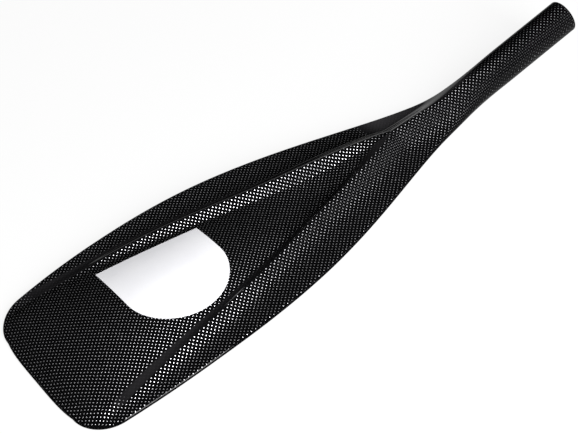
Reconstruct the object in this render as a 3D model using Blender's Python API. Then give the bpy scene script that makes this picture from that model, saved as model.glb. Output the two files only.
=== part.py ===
"""Blade of a stand-up paddle: a moulded carbon blade with a hollow round neck.

The blade lies on its power face. X runs from the tip towards the neck, Y across
the blade and Z up, out of the patterned back face. The world's origin is below
the middle of the blade's box, on the floor. The tip's lower edge and the underside
of the throat touch the floor, and the neck rises from it. All sub-parts hang on
one empty below the tip, from which their lengths along X are measured.

Every surface is a height above or below one parting line, which runs round the
rim and along both sides of the neck, because the real blade comes out of a
mould in two halves. A surface further inside the laminate is the same surface
with an inset, so that skins, foam, spars and sleeve always nest.
"""
import math
from typing import NamedTuple

import bmesh
import bpy
import numpy as np

# Outline of the blade, seen from above. Lengths along X start at the tip.
HALF_WIDTH = 0.0868
WIDEST_X = 0.104
TIP_NARROWING = 0.0086
TIP_CORNER_RADIUS = 0.0277
TIP_BOW = 0.0026
TIP_BOW_POWER = 4
SHOULDER_TO_SLEEVE = 0.018
SHOULDER_FULLNESS = 2.48
THROAT_FILLET = 2.26

# Rim, and the curl of the tip towards the power face.
RIM_THICKNESS = 0.0036
TIP_CURL_LENGTH = 0.213

# Neck: a round tube that rises from the level of the rim.
NECK_RADIUS = 0.0149
NECK_ANGLE = math.radians(9.5)
NECK_BEND_X = 0.405
NECK_BEND_HALF_LENGTH = 0.014
NECK_END_X = 0.546
ROUNDING_START_X = 0.353
ROUNDING_OVER_SLEEVE = 0.003

# Two ridges on the back face, which meet at the apex and run on as one spine.
APEX_X = 0.352
RIDGE_SPREAD = 0.0777
RIDGE_POWER = 0.80
RIDGE_BOW = 0.0031
RIDGE_BOW_X = 0.155
RIDGE_BOW_REACH = 0.115
TOE_RIDGE_HEIGHT = 0.0041
TOE_RIDGE_END_X = 0.140
SPINE_HEIGHT = 0.0131
RIDGE_CLIMB_START_X = 0.170
RIDGE_CLIMB_END_X = 0.390

# Walls of the ridges: a straight inner one with a rounded crest and foot, whose
# rounding is a share of the wall, and an outer one that is part parabola, whose foot
# lies farther out.
CREST_ROUNDING = 0.0008
TOE_INNER_WALL = 0.0052
INNER_WALL = 0.0080
INNER_WALL_START_X = 0.040
INNER_WALL_END_X = 0.180
INNER_FOOT = 0.04
TOE_OUTER_WALL = 0.0075
OUTER_WALL = 0.0118
OUTER_WALL_START_X = 0.030
OUTER_WALL_END_X = 0.160
SPINE_WALL = 0.0190
SPINE_WALL_START_X = 0.200
SPINE_WALL_END_X = 0.360
OUTER_EDGE = 0.50
OUTER_TAIL = 2.0

# Middle panel between the ridges: crowned near the tip, hollow near the apex.
CROWN_HEIGHT = 0.0086
CROWN_X = 0.103
CROWN_REACH = 0.146
CROWN_FALL = 0.0078
CROWN_FALL_X = 0.120
CROWN_FALL_REACH = 0.150
HOLLOW_DEPTH = 0.0024
HOLLOW_X = 0.255
HOLLOW_REACH = 0.060
PANEL_CLIMB_START_X = 0.255
PANEL_CLIMB_END_X = 0.365

# Outer flanks, between each ridge and the rim.
FLANK_DIP = 0.0009
FLANK_DIP_X = 0.164
FLANK_DIP_REACH = 0.136

# Power face: slightly spooned near the tip, with a soft spine into the throat.
SPOON_DEPTH = 0.0030
SPOON_X = 0.100
SPOON_REACH = 0.110
POWER_SPINE_START_X = 0.170
POWER_SPINE_END_X = 0.395

# The relief fades out over the first distance from the tip's edge, and the fall of
# the middle panel over the second, where the ridges draw together.
TIP_FADE = 0.016
APEX_FADE = 0.010
NARROWEST_FLANK = 0.001

# Build-up of the laminate, from the outside in.
CLEARANCE = 0.0003
GLUE_LINE = 0.0005
SKIN = 0.0008
BAND_WIDTH = 0.0060
BAND_EDGE = 0.0008
BAND_TO_PLUG = 0.0417
SPAR_WIDTH = 0.0050
SPINE_WIDTH = 0.0160
NARROWEST_FOAM = 0.0025

# Socket in the neck for the shaft's ferrule, and the plug that closes it. The plug
# turns round the neck up to this angle, short of the thin edge at the parting line.
SLEEVE_WALL = 0.0016
SOCKET_DEPTH = 0.069
PLUG_LENGTH = 0.036
PLUG_TURN = math.radians(83)

# Label on the middle panel: a D whose straight edge runs beside the left ridge, at
# one gap on the tip's side and at another on the neck's, and sags a little.
LABEL_X = 0.1304
LABEL_WIDTH = 0.0870
LABEL_ROUND_Y = -0.0001
LABEL_TIP_GAP = 0.0127
LABEL_NECK_GAP = 0.0138
LABEL_SAG = 0.0008
LABEL_THICKNESS = 0.0002

# Fineness of the faceted surfaces. Columns crowd towards the ridges.
FADE_ROWS = 4
FADE_CROWDING = 1.2
BLADE_ROWS = 18
NECK_ROWS = 13
PANEL_COLUMNS = 6
FLANK_COLUMNS = 5
POWER_COLUMNS = 12
RIM_COLUMNS = 3
BAND_ROWS = 21
BAND_CORNER_ROWS = 7
BAND_TIP_ROWS = 5
SPAR_COLUMNS = 4
PLUG_ROWS = 3
PLUG_COLUMNS = 14
LABEL_ROWS = 16
LABEL_COLUMNS = 8
LEAST_CROWDING = 0.1
CROWDING_PER_METRE = 22.0
TUBE_SIDES = 40
SHORTEST_STEP = 0.0015
SHARP_ANGLE = math.radians(35)

# Fineness of the sums: steps for slopes, halvings of an interval, and round-off.
SLOPE_STEP = 0.0002
HALVINGS = 40
ROUND_OFF = 1e-9

# Values worked out from the sizes above.
HALF_RIM = RIM_THICKNESS / 2
HALF_GAP = CLEARANCE / 2
UNDER_SKIN = SKIN + GLUE_LINE
CORE_INSET = UNDER_SKIN + BAND_WIDTH + CLEARANCE
CREST_STEP = (SPAR_WIDTH + CLEARANCE) / 2
NEAREST_RIDGE = (SPINE_WIDTH - SPAR_WIDTH) / 2
SLEEVE_RADIUS = NECK_RADIUS - UNDER_SKIN
BORE_RADIUS = SLEEVE_RADIUS - SLEEVE_WALL
SLEEVE_START_X = NECK_END_X - SOCKET_DEPTH * math.cos(NECK_ANGLE)
PLUG_END_X = SLEEVE_START_X - CLEARANCE
PLUG_START_X = PLUG_END_X - PLUG_LENGTH
BAND_END_X = PLUG_START_X - BAND_TO_PLUG
SHOULDER_END_X = SLEEVE_START_X - SHOULDER_TO_SLEEVE
ROUNDING_END_X = SLEEVE_START_X + ROUNDING_OVER_SLEEVE
OVERALL_LENGTH = NECK_END_X + NECK_RADIUS * math.sin(NECK_ANGLE)
BACK = 1
POWER = -1
LEFT = 1
RIGHT = -1


class Look(NamedTuple):
    """Colour, roughness and metallic value of a sub-part."""

    colour: tuple
    roughness: float
    metallic: float


WEAVE = Look((0.020, 0.020, 0.022), 0.25, 0.0)
SPAR_LAMINATE = Look((0.030, 0.030, 0.032), 0.45, 0.0)
BAND_LAMINATE = Look((0.045, 0.045, 0.048), 0.50, 0.0)
SLEEVE_LAMINATE = Look((0.035, 0.035, 0.038), 0.40, 0.0)
CORE_FOAM = Look((0.78, 0.74, 0.62), 0.85, 0.0)
PLUG_FOAM = Look((0.70, 0.68, 0.60), 0.85, 0.0)
LABEL_FOIL = Look((0.86, 0.86, 0.88), 0.35, 0.0)


def ramp(x, start, end):
    """A smooth climb from 0 at start to 1 at end."""
    t = np.clip((x - start) / (end - start), 0, 1)
    return t * t * (3 - 2 * t)


def bisect(low, high, is_past):
    """The point between low and high where a test turns true."""
    for _ in range(HALVINGS):
        middle = (low + high) / 2
        if is_past(middle):
            high = middle
        else:
            low = middle
    return high


def bell(x, centre, reach):
    """A smooth hump of height 1 at the centre, which ends at the reach."""
    return np.cos(np.clip((x - centre) / reach, -1, 1) * math.pi / 2) ** 2


def circle_drop(distance, radius):
    """How far a quarter circle of this radius has dropped at a distance from its rim."""
    t = 1 - np.clip(distance / radius, 0, 1)
    return radius * (1 - np.sqrt(np.maximum(1 - t * t, 0)))


# Outline

def side_width(x):
    """Half the blade's width at x, without the rounded corners of the tip."""
    before = np.clip(1 - x / WIDEST_X, 0, 1)
    after = np.clip((x - WIDEST_X) / (SHOULDER_END_X - WIDEST_X), 0, 1)
    fullness = (1 - after ** SHOULDER_FULLNESS) ** THROAT_FILLET
    widening = (HALF_WIDTH - NECK_RADIUS) * fullness
    return NECK_RADIUS + widening - TIP_NARROWING * before ** 2


def flat_tip_width():
    """Half the width of the nearly straight edge between the tip's corners."""
    return side_width(0.0) - TIP_CORNER_RADIUS


def outline_width(x, inset):
    """Half the width of the outline at x, moved inwards by an inset."""
    radius = TIP_CORNER_RADIUS - inset
    return side_width(x) - inset - circle_drop(x - TIP_BOW - inset, radius)


def tip_edge(a, inset):
    """Where the edge between the tip's corners lies at a distance a off the middle."""
    return inset + TIP_BOW * np.clip(a / flat_tip_width(), 0, 1) ** TIP_BOW_POWER


def rim_distance(x, a, inset):
    """Distance from a point to the inset outline, for points close to it."""
    radius = TIP_CORNER_RADIUS - inset
    off_side = side_width(x) - inset - a
    off_tip = x - tip_edge(a, inset)
    across = radius - off_side
    along = radius - (x - TIP_BOW - inset)
    corner = (across > 0) & (along > 0)
    off_corner = radius - np.hypot(np.maximum(across, 0), np.maximum(along, 0))
    return np.maximum(np.where(corner, off_corner, np.minimum(off_side, off_tip)), 0)


# Centre line

def line_rise(x):
    """Height of the neck's axis, and of the rim where the tip doesn't curl."""
    half = NECK_BEND_HALF_LENGTH
    u = x - NECK_BEND_X
    bend = np.clip(u + half, 0, 2 * half) ** 2 / (4 * half)
    return NECK_RADIUS + math.tan(NECK_ANGLE) * (bend + np.maximum(u - half, 0))


def line_angle(x):
    """Slope angle of the centre line at x."""
    half = NECK_BEND_HALF_LENGTH
    turned = np.clip((x - NECK_BEND_X + half) / (2 * half), 0, 1)
    return np.arctan(math.tan(NECK_ANGLE) * turned)


def tip_curl(x):
    """How far the rim has curled down at x. At the tip it reaches the floor."""
    return (NECK_RADIUS - HALF_RIM) * np.clip(1 - x / TIP_CURL_LENGTH, 0, 1) ** 2


def roundness(x):
    """0 where the section is a blade, 1 where it is the round neck."""
    return ramp(x, ROUNDING_START_X, ROUNDING_END_X)


def place(x, y, height):
    """Point at a height above the parting line, measured square to the centre line."""
    angle = line_angle(x)
    along = x - height * np.sin(angle)
    up = line_rise(x) - tip_curl(x) + height * np.cos(angle)
    return np.stack(np.broadcast_arrays(along, y, up), axis=-1)


# Relief of the two faces, above the thickness of the rim

def ridge_offset(x):
    """Distance of each ridge from the middle line."""
    spread = RIDGE_SPREAD * np.clip(1 - x / APEX_X, 0, 1) ** RIDGE_POWER
    return spread + RIDGE_BOW * bell(x, RIDGE_BOW_X, RIDGE_BOW_REACH)


def inner_share(x, distance):
    """Height of a ridge's inner wall: 1 on its rounded crest, then straight to 0."""
    growth = (INNER_WALL - TOE_INNER_WALL) * ramp(x, INNER_WALL_START_X, INNER_WALL_END_X)
    rounded = np.hypot(distance, CREST_ROUNDING) - CREST_ROUNDING
    left = 1 - rounded / (TOE_INNER_WALL + growth)
    return (left + np.hypot(left, INNER_FOOT)) / (1 + math.hypot(1, INNER_FOOT))


def outer_share(x, distance):
    """Height of a ridge's outer wall: part cosine squared, part parabola."""
    growth = (OUTER_WALL - TOE_OUTER_WALL) * ramp(x, OUTER_WALL_START_X, OUTER_WALL_END_X)
    widening = (SPINE_WALL - OUTER_WALL) * ramp(x, SPINE_WALL_START_X, SPINE_WALL_END_X)
    reach = TOE_OUTER_WALL + growth + widening
    left = 1 - np.clip(distance / (reach * OUTER_TAIL), 0, 1)
    hump = bell(distance, 0.0, reach)
    return hump + OUTER_EDGE * (left ** 2 - hump)


def back_relief(x, a):
    """Height of the back face's pattern at x, at a distance a off the middle."""
    ridge = ridge_offset(x)
    width = side_width(x)
    panel = CROWN_HEIGHT * bell(x, CROWN_X, CROWN_REACH)
    panel = panel + SPINE_HEIGHT * ramp(x, PANEL_CLIMB_START_X, PANEL_CLIMB_END_X)
    crest = TOE_RIDGE_HEIGHT * ramp(x, 0, TOE_RIDGE_END_X)
    climb = ramp(x, RIDGE_CLIMB_START_X, RIDGE_CLIMB_END_X)
    crest = crest + (SPINE_HEIGHT - TOE_RIDGE_HEIGHT) * climb
    fall = CROWN_FALL * bell(x, CROWN_FALL_X, CROWN_FALL_REACH)
    fall = fall - HOLLOW_DEPTH * bell(x, HOLLOW_X, HOLLOW_REACH)
    fall = fall * np.clip(ridge / APEX_FADE, 0, 1)
    dip = FLANK_DIP * bell(x, FLANK_DIP_X, FLANK_DIP_REACH)
    floor = panel - fall * (a / np.maximum(ridge, ROUND_OFF)) ** 2
    inside = floor + (crest - floor) * inner_share(x, ridge - a)
    across = np.clip((a - ridge) / np.maximum(width - ridge, NARROWEST_FLANK), 0, 1)
    outside = (crest + dip) * outer_share(x, a - ridge) - dip
    outside = outside * (1 - across ** 2)
    return np.where(a < ridge, inside, outside)


def power_relief(x, a):
    """Depth of the power face below the rim's thickness."""
    spoon = SPOON_DEPTH * bell(x, SPOON_X, SPOON_REACH)
    climb = ramp(x, POWER_SPINE_START_X, POWER_SPINE_END_X)
    belly = (NECK_RADIUS - HALF_RIM) * climb - spoon
    return belly * (1 - np.clip(a / side_width(x), 0, 1) ** 2)


def height(x, a, inset, face):
    """Height of a face of the laminate above the parting line, at an inset."""
    relief = back_relief if face == BACK else power_relief
    step = SLOPE_STEP
    slope_x = (relief(x + step, a) - relief(x - step, a)) / (2 * step)
    slope_a = (relief(x, a + step) - relief(x, np.abs(a - step))) / (2 * step)
    steepness = np.sqrt(1 + slope_x ** 2 + slope_a ** 2) - 1
    from_rim = rim_distance(x, a, inset)
    fade = ramp(from_rim + inset, 0, TIP_FADE)
    fade = np.where(x < 3 * TIP_FADE, fade, 1)
    rim = HALF_RIM - HALF_GAP - inset
    rim = rim - circle_drop(from_rim, rim)
    blade = rim + (relief(x, a) - inset * steepness) * fade
    across = np.clip(a / (side_width(x) - inset), 0, 1)
    tube = (NECK_RADIUS - HALF_GAP - inset) * np.sqrt(1 - across ** 2)
    round_share = roundness(x)
    return HALF_GAP + (1 - round_share) * blade + round_share * tube


# Grids of points

def ridge_line(x):
    """Distance of a ridge spar from the middle line, between the rim band and the spine."""
    outermost = side_width(x) - CORE_INSET - CLEARANCE - SPAR_WIDTH / 2
    return np.clip(ridge_offset(x), NEAREST_RIDGE, outermost)


def crowded(start, end, count):
    """Offsets after the start, up to the end, that crowd towards the start."""
    strength = LEAST_CROWDING + CROWDING_PER_METRE * abs(end - start)
    t = np.arange(1, count + 1) / count
    return start + (end - start) * np.expm1(strength * t) / math.expm1(strength)


# Where the two ridge spars have drawn together beside the spine's middle line.
SPAR_END_X = bisect(APEX_X / 2, APEX_X, lambda x: ridge_offset(x) <= NEAREST_RIDGE)


def panel_offsets(x, step):
    """Offsets from the middle line to a step inside the ridge line."""
    edge = ridge_line(x) - step
    return np.append(crowded(edge, 0.0, PANEL_COLUMNS)[::-1], edge)


def patterned_offsets(x, outer):
    """Offsets of columns that follow the ridge, from the middle line to an outer offset."""
    ridge = float(ridge_line(x))
    panel = panel_offsets(x, min(CREST_STEP, ridge / PANEL_COLUMNS))
    crest = ridge + CREST_STEP * np.array([0.0, 0.5, 1.0])
    before_crest = (panel[-1] + ridge) / 2
    return np.concatenate([panel, [before_crest], crest, crowded(crest[-1], outer, FLANK_COLUMNS)])


def column_offsets(x, inset, face):
    """Distances off the middle line of the columns that cross a skin at x."""
    width = side_width(x) - inset
    rim = HALF_RIM - inset
    if face == BACK:
        across = patterned_offsets(x, width - rim)
    else:
        across = (width - rim) * np.sin(np.linspace(0, math.pi / 2, POWER_COLUMNS))
    turn = np.arange(1, RIM_COLUMNS + 1) / RIM_COLUMNS * math.pi / 2
    blade = np.append(across, width - rim * (1 - np.sin(turn)))
    tube = width * np.sin(np.linspace(0, math.pi / 2, len(blade)))
    round_share = roundness(x)
    return (1 - round_share) * blade + round_share * tube


def tip_of_column(offset_at, inset):
    """Where a column, given by its offset at each x, meets the tip's inset edge."""
    start = TIP_BOW + inset
    if offset_at(start) <= flat_tip_width():
        return float(tip_edge(offset_at(start), inset))
    end = TIP_BOW + TIP_CORNER_RADIUS
    return bisect(start, end, lambda x: outline_width(x, inset) >= offset_at(x) - ROUND_OFF)


def stations_to_apex(start):
    """Stations from a start by the tip: close ones where the relief fades in, then even."""
    t = np.arange(1, FADE_ROWS + 1) / FADE_ROWS
    close = start + TIP_FADE * t ** FADE_CROWDING
    return np.concatenate([close, np.linspace(close[-1], SPAR_END_X, BLADE_ROWS + 1)[1:]])


def stations_from_spars(end, count):
    """Stations after the ridge spars: the middle of the apex, and even ones to an end."""
    middle = (SPAR_END_X + APEX_X) / 2
    return np.concatenate([[middle], np.linspace(APEX_X, end, count)])


def row_stations(start):
    """Stations along a skin's column, from the tip's rim to the neck's end."""
    turn = np.arange(RIM_COLUMNS + 1) / RIM_COLUMNS * math.pi / 2
    rim = start + HALF_RIM * (1 - np.cos(turn))
    neck = stations_from_spars(NECK_END_X, NECK_ROWS)
    return np.concatenate([rim, stations_to_apex(rim[-1]), neck])


def skin_half(inset, face):
    """Columns of points over half a skin's surface, from the middle line outwards."""
    columns = []
    for index in range(len(column_offsets(WIDEST_X, inset, face))):
        def offset_at(x, index=index):
            return column_offsets(x, inset, face)[index]
        x = row_stations(tip_of_column(offset_at, inset))
        a = np.array([offset_at(value) for value in x])
        columns.append((x, a, face * height(x, a, inset, face)))
    return columns


def skin_surface(inset, face):
    """Grid of points over a whole skin's surface: rows along X, columns across Y."""
    half = skin_half(inset, face)
    left = [place(x, a, h) for x, a, h in half]
    right = [place(x, -a, h) for x, a, h in reversed(half[1:])]
    return np.stack(right + left, axis=1)


# Meshes

def make_material(name, look):
    """A plain Principled material."""
    material = bpy.data.materials.new(name)
    material.use_nodes = True
    shader = material.node_tree.nodes["Principled BSDF"]
    shader.inputs["Base Color"].default_value = (*look.colour, 1.0)
    shader.inputs["Roughness"].default_value = look.roughness
    shader.inputs["Metallic"].default_value = look.metallic
    return material


def make_empty(name, location, rotation=(0.0, 0.0, 0.0), parent=None):
    """An empty that other objects hang on."""
    empty = bpy.data.objects.new(name, None)
    bpy.context.scene.collection.objects.link(empty)
    empty.location = location
    empty.rotation_euler = rotation
    empty.parent = parent
    return empty


def make_object(name, mesh, look, parent):
    """An object of a closed mesh, smooth except at its corners, with its own material."""
    mesh.materials.append(make_material(name, look))
    mesh.shade_smooth()
    mesh.set_sharp_from_angle(angle=SHARP_ANGLE)
    obj = bpy.data.objects.new(name, mesh)
    bpy.context.scene.collection.objects.link(obj)
    obj.parent = parent
    return obj


def thick_sheet(name, upper, lower, look, parent):
    """A solid between two grids of points with equal rows and columns."""
    rows, cols, _ = upper.shape
    points = np.concatenate([upper.reshape(-1, 3), lower.reshape(-1, 3)])
    under = rows * cols

    def at(row, col):
        return row * cols + col

    faces = []
    for row in range(rows - 1):
        for col in range(cols - 1):
            a, b = at(row, col), at(row + 1, col)
            c, d = at(row + 1, col + 1), at(row, col + 1)
            if points[a][1] + points[c][1] < 0:
                a, b, c, d = b, c, d, a
            for p, q, r in ((a, b, c), (a, c, d)):
                faces.append((p, q, r))
                faces.append((under + r, under + q, under + p))
    loop = [at(0, col) for col in range(cols)]
    loop += [at(row, cols - 1) for row in range(1, rows)]
    loop += [at(rows - 1, col) for col in range(cols - 2, -1, -1)]
    loop += [at(row, 0) for row in range(rows - 2, 0, -1)]
    for start, end in zip(loop, loop[1:] + loop[:1]):
        faces.append((start, end, under + end, under + start))
    mesh = bpy.data.meshes.new(name)
    mesh.from_pydata([tuple(p) for p in points], [], faces)
    mesh.validate()
    return make_object(name, mesh, look, parent)


def filling_block(name, x, y, look, parent):
    """A block that fills the space between the two skins over a grid of x and y."""
    upper = place(x, y, height(x, np.abs(y), UNDER_SKIN, BACK))
    lower = place(x, y, -height(x, np.abs(y), UNDER_SKIN, POWER))
    return thick_sheet(name, upper, lower, look, parent)


def mirrored(side, x, y):
    """A grid of x and y on one side of the blade, with its columns in Y order."""
    return (x, y) if side == LEFT else (x[:, ::-1], -y[:, ::-1])


# Sub-parts

def build_skin(name, face, parent):
    """One moulded half: the woven shell of a face, with its half of the rim and neck."""
    outer = skin_surface(0.0, face)
    inner = skin_surface(SKIN, face)
    upper, lower = (outer, inner) if face == BACK else (inner, outer)
    return thick_sheet(name, upper, lower, WEAVE, parent)


def band_points(x, inset):
    """Stations round the outline at an inset, from one throat round the tip."""
    corner_x = TIP_BOW + TIP_CORNER_RADIUS
    radius = TIP_CORNER_RADIUS - inset
    stations = [(value, side_width(value) - inset) for value in x]
    for turn in np.linspace(0, math.pi / 2, BAND_CORNER_ROWS + 1)[1:]:
        value = corner_x - radius * math.sin(turn)
        middle = side_width(value) - TIP_CORNER_RADIUS
        stations.append((value, middle + radius * math.cos(turn)))
    last = stations[-1][1]
    for share in np.linspace(1, 0, BAND_TIP_ROWS + 1)[1:]:
        stations.append((float(tip_edge(last * share, inset)), last * share))
    return np.array(stations)


def build_rim_band(parent):
    """Solid band of laminate inside the rim, where the two skins are bonded."""
    corner_x = TIP_BOW + TIP_CORNER_RADIUS
    x = np.linspace(BAND_END_X, corner_x, BAND_ROWS + 1)
    outer = UNDER_SKIN + CLEARANCE / 2
    insets = [outer, outer + BAND_EDGE, UNDER_SKIN + BAND_WIDTH / 2, UNDER_SKIN + BAND_WIDTH]
    upper, lower = [], []
    for inset in insets:
        half = band_points(x, inset)
        xs = np.concatenate([half[:, 0], half[-2::-1, 0]])
        a = np.concatenate([half[:, 1], half[-2::-1, 1]])
        ys = np.concatenate([half[:, 1], -half[-2::-1, 1]])
        upper.append(place(xs, ys, height(xs, a, UNDER_SKIN, BACK)))
        lower.append(place(xs, ys, -height(xs, a, UNDER_SKIN, POWER)))
    upper, lower = np.stack(upper, axis=1), np.stack(lower, axis=1)
    return thick_sheet("rim_band", upper, lower, BAND_LAMINATE, parent)


def columns_from_tip(offsets_at):
    """x and y grids for a block from beside the rim band at the tip to the apex."""
    x_columns, y_columns = [], []
    for index in range(len(offsets_at(WIDEST_X))):
        def offset_at(x, index=index):
            return float(offsets_at(x)[index])
        start = tip_of_column(offset_at, CORE_INSET)
        x = np.concatenate([[start], stations_to_apex(start)])
        x_columns.append(x)
        y_columns.append([offset_at(value) for value in x])
    return np.array(x_columns).T, np.array(y_columns).T


def build_spar(name, side, parent):
    """Carbon web under one ridge, from the tip to the apex."""
    def offsets_at(x):
        return ridge_line(x) + np.linspace(-1, 1, SPAR_COLUMNS + 1) * SPAR_WIDTH / 2

    x, y = mirrored(side, *columns_from_tip(offsets_at))
    return filling_block(name, x, y, SPAR_LAMINATE, parent)


def build_centre_foam(parent):
    """Foam under the middle panel, between the two ridge spars."""
    step = SPAR_WIDTH / 2 + CLEARANCE

    def offsets_at(x):
        return panel_offsets(x, step)

    x, y = columns_from_tip(offsets_at)
    wide_enough = y[:, -1] > NARROWEST_FOAM
    x, y = x[wide_enough], y[wide_enough]
    x = np.concatenate([x[:, :0:-1], x], axis=1)
    y = np.concatenate([-y[:, :0:-1], y], axis=1)
    return filling_block("foam_centre", x, y, CORE_FOAM, parent)


def build_flank_foam(name, side, parent):
    """Foam under one outer flank, between a ridge spar or the spine and the rim band."""
    def inner(x):
        return float(ridge_line(x)) + SPAR_WIDTH / 2 + CLEARANCE

    def outer(x):
        return float(side_width(x)) - CORE_INSET

    start = bisect(0.0, WIDEST_X, lambda x: outer(x) - inner(x) >= NARROWEST_FOAM)
    end = bisect(WIDEST_X, BAND_END_X, lambda x: outer(x) - inner(x) <= NARROWEST_FOAM)
    stations = np.concatenate([
        np.linspace(start, SPAR_END_X, BLADE_ROWS),
        stations_from_spars(end, NECK_ROWS // 2),
    ])
    columns = [crowded(inner(x), outer(x), FLANK_COLUMNS) for x in stations]
    y = np.array([np.append(inner(x), column) for x, column in zip(stations, columns)])
    x = np.broadcast_to(stations[:, None], y.shape)
    x, y = mirrored(side, x, y)
    return filling_block(name, x, y, CORE_FOAM, parent)


def build_spine_spar(parent):
    """Carbon web from the apex through the throat to the plug.

    Its inner columns lie where those of the skins do at the ends of the ridge spars.
    """
    end = PLUG_START_X - CLEARANCE
    stations = stations_from_spars(NECK_END_X, NECK_ROWS)
    stations = stations[stations < end - SHORTEST_STEP]
    stations = np.concatenate([[SPAR_END_X + CLEARANCE], stations, [end]])
    half = np.append(NEAREST_RIDGE * np.array([0.5, 0.8, 0.9, 1.0]), SPINE_WIDTH / 2)
    across = np.concatenate([-half[::-1], [0.0], half])
    x, y = np.meshgrid(stations, across, indexing="ij")
    return filling_block("spine_spar", x, y, SPAR_LAMINATE, parent)


def build_plug(parent):
    """Foam plug that closes the bottom of the socket."""
    stations = np.linspace(PLUG_START_X, PLUG_END_X, PLUG_ROWS + 1)
    across = np.sin(np.linspace(-PLUG_TURN, PLUG_TURN, PLUG_COLUMNS + 1))
    y = (side_width(stations) - UNDER_SKIN)[:, None] * across
    x = np.broadcast_to(stations[:, None], y.shape)
    return filling_block("neck_plug", x, y, PLUG_FOAM, parent)


def build_sleeve(parent):
    """Round sleeve that lines the neck and takes the shaft's ferrule.

    Its parent's Z runs along the neck's axis and starts at the middle of its end.
    """
    profile = [
        (SLEEVE_RADIUS, 0.0),
        (SLEEVE_RADIUS, -SOCKET_DEPTH),
        (BORE_RADIUS, -SOCKET_DEPTH),
        (BORE_RADIUS, 0.0),
    ]
    turned = bmesh.new()
    corners = [turned.verts.new((radius, 0.0, depth)) for radius, depth in profile]
    sides = [turned.edges.new(ends) for ends in zip(corners, corners[1:] + corners[:1])]
    bmesh.ops.spin(
        turned,
        geom=corners + sides,
        cent=(0.0, 0.0, 0.0),
        axis=(0.0, 0.0, 1.0),
        angle=2 * math.pi,
        steps=TUBE_SIDES,
        use_merge=True,
    )
    bmesh.ops.recalc_face_normals(turned, faces=turned.faces)
    mesh = bpy.data.meshes.new("neck_sleeve")
    turned.to_mesh(mesh)
    turned.free()
    return make_object("neck_sleeve", mesh, SLEEVE_LAMINATE, parent)


def label_upper_edge(x):
    """Long edge of the label, beside the left ridge, with its slight sag."""
    first = LABEL_X - LABEL_WIDTH / 2
    last = LABEL_X + LABEL_WIDTH / 2
    start = ridge_offset(first) - LABEL_TIP_GAP
    end = ridge_offset(last) - LABEL_NECK_GAP
    t = (x - first) / (last - first)
    return start + (end - start) * t - 4 * LABEL_SAG * t * (1 - t)


def label_lower_edge(x):
    """Round edge of the label."""
    radius = LABEL_WIDTH / 2
    t = np.clip((x - LABEL_X) / radius, -1, 1)
    return LABEL_ROUND_Y - radius * np.sqrt(1 - t * t)


def build_label(parent):
    """Thin bare foil on the middle panel."""
    turns = np.linspace(-math.pi / 2, math.pi / 2, LABEL_ROWS + 1)
    x = LABEL_X + LABEL_WIDTH / 2 * np.sin(turns)
    shares = np.linspace(0, 1, LABEL_COLUMNS + 1)
    low, high = label_lower_edge(x), label_upper_edge(x)
    y = low[:, None] + (high - low)[:, None] * shares
    x_grid = np.broadcast_to(x[:, None], y.shape)
    on_skin = height(x_grid, np.abs(y), 0.0, BACK)
    upper = place(x_grid, y, on_skin + GLUE_LINE + LABEL_THICKNESS)
    lower = place(x_grid, y, on_skin + GLUE_LINE)
    return thick_sheet("label", upper, lower, LABEL_FOIL, parent)


def clear_scene():
    """Remove what the file held before."""
    for obj in list(bpy.data.objects):
        bpy.data.objects.remove(obj, do_unlink=True)


def main():
    clear_scene()
    tip = make_empty("tip", (-OVERALL_LENGTH / 2, 0.0, 0.0))
    neck_end = place(NECK_END_X, 0.0, 0.0)
    neck_axis = make_empty("neck_axis", neck_end, (0.0, math.pi / 2 - NECK_ANGLE, 0.0), tip)
    build_skin("back_skin", BACK, tip)
    build_skin("power_skin", POWER, tip)
    build_rim_band(tip)
    build_spar("ridge_spar_left", LEFT, tip)
    build_spar("ridge_spar_right", RIGHT, tip)
    build_spine_spar(tip)
    build_centre_foam(tip)
    build_flank_foam("foam_flank_left", LEFT, tip)
    build_flank_foam("foam_flank_right", RIGHT, tip)
    build_plug(tip)
    build_sleeve(neck_axis)
    build_label(tip)


main()
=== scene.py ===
"""The paddle blade: its moulded carbon skins, neck socket and label, on a pale floor.

Lengths are metres, and angles are radians apart from the camera's. X runs from the
blade's tip towards its neck, Y across it and Z up. Places along X are measured from
the tip, until BladeForm.place moves them to the frame, whose origin lies below the
middle of the blade's box.
"""
from __future__ import annotations

import logging
import math
from dataclasses import dataclass
from enum import Enum
from typing import Any, NamedTuple, Union

import bpy
import numpy as np
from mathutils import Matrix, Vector


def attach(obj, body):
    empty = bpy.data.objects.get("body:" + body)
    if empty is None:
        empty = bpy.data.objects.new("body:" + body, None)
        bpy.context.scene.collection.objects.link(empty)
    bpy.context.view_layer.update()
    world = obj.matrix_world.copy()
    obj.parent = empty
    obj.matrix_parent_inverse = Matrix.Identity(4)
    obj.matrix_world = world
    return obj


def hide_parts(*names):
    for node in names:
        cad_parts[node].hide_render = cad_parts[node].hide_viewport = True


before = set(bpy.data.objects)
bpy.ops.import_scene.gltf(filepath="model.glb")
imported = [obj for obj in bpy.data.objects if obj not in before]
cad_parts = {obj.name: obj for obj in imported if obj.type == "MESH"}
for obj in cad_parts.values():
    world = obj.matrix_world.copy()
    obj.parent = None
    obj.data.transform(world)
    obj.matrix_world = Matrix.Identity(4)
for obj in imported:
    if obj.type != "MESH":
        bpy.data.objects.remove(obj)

log = logging.getLogger("paddle_blade")
Array = np.ndarray
Number = Union[float, Array]
Span = tuple[float, float]
Colour = tuple[float, float, float, float]
Value = Union[float, "Signal"]

SURFACE_UV = "weave"
SHARP_EDGE = math.radians(40)


class Face(Enum):
    """The two moulded faces of the blade."""

    BACK = 1
    POWER = -1


# Form

def ramp(x: Array, start: float, end: float) -> Array:
    """A smooth climb from 0 at start to 1 at end: t squared times (3 - 2t)."""
    t = np.clip((x - start) / (end - start), 0, 1)
    return t * t * (3 - 2 * t)


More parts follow.
